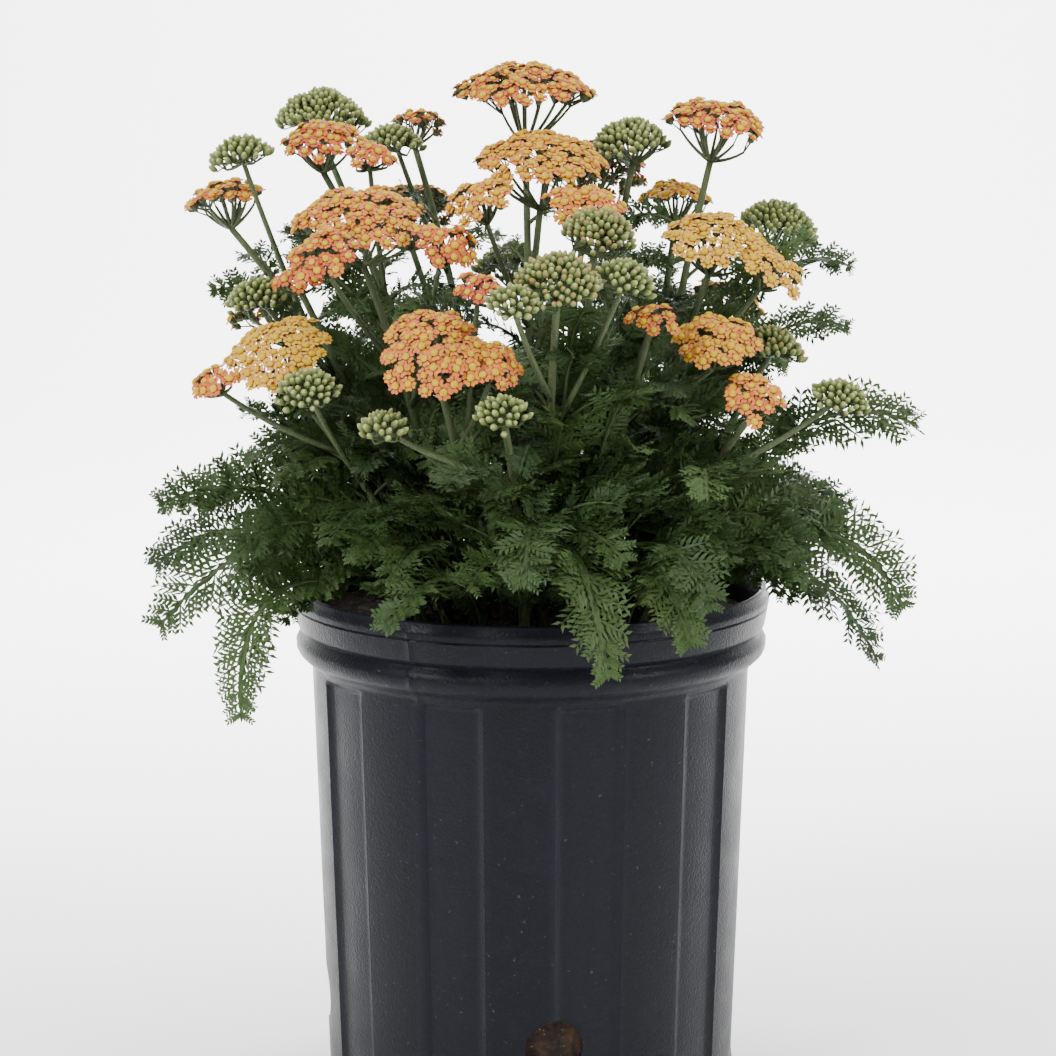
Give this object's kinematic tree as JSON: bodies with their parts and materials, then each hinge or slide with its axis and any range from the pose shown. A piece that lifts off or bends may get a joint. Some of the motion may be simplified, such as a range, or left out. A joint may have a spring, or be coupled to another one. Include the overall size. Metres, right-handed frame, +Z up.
{
  "type": "yarrow plant",
  "caption": "Yarrow plant with flat clusters of salmon, orange and yellow florets over feathery leaves, growing in a fluted black nursery pot.",
  "frame": {"origin": "middle of the pot's base, on the surface that the pot stands on", "axes": "+Z up the pot, -Y to the front that the picture shows, +X to the right as seen from the front"},
  "size_m": [0.2663, 0.236, 0.354],
  "materials": {
    "black_plastic": "semi-matte, fine grained",
    "potting_mix": null,
    "leaf_green": null,
    "salmon_petals": null,
    "peach_petals": null,
    "orange_petals": null,
    "gold_petals": null,
    "yellow_petals": null
  },
  "bodies": {
    "root": {"head_a": "orange_petals", "head_b": "salmon_petals", "head_back_left": "peach_petals", "head_back_low": "gold_petals", "head_back_right": "orange_petals", "head_back_side": "yellow_petals", "head_c_crown": "gold_petals", "head_c_left": "gold_petals", "head_c_right": "peach_petals", "head_d": "salmon_petals", "head_d_side": "salmon_petals", "head_e": "salmon_petals", "head_f": "orange_petals", "head_h_crown": "peach_petals", "head_h_right": "salmon_petals", "head_i": "salmon_petals", "head_j": "yellow_petals", "head_k": "peach_petals", "head_k_top": "salmon_petals", "head_l": "yellow_petals", "head_m": "gold_petals", "head_n": "peach_petals", "head_o": "gold_petals", "head_p": "peach_petals", "leafy_stem_a": "leaf_green", "leafy_stem_b": "leaf_green", "leafy_stem_c": "leaf_green", "leafy_stem_d": "leaf_green", "leafy_stem_h": "leaf_green", "leafy_stem_i": "leaf_green", "leafy_stem_k": "leaf_green", "leafy_stem_m": "leaf_green", "leafy_stem_s": "leaf_green", "leafy_stem_x": "leaf_green", "leafy_stem_y": "leaf_green", "leafy_stem_z": "leaf_green", "pot": "black_plastic", "soil": "potting_mix"}
  },
  "joints": []
}
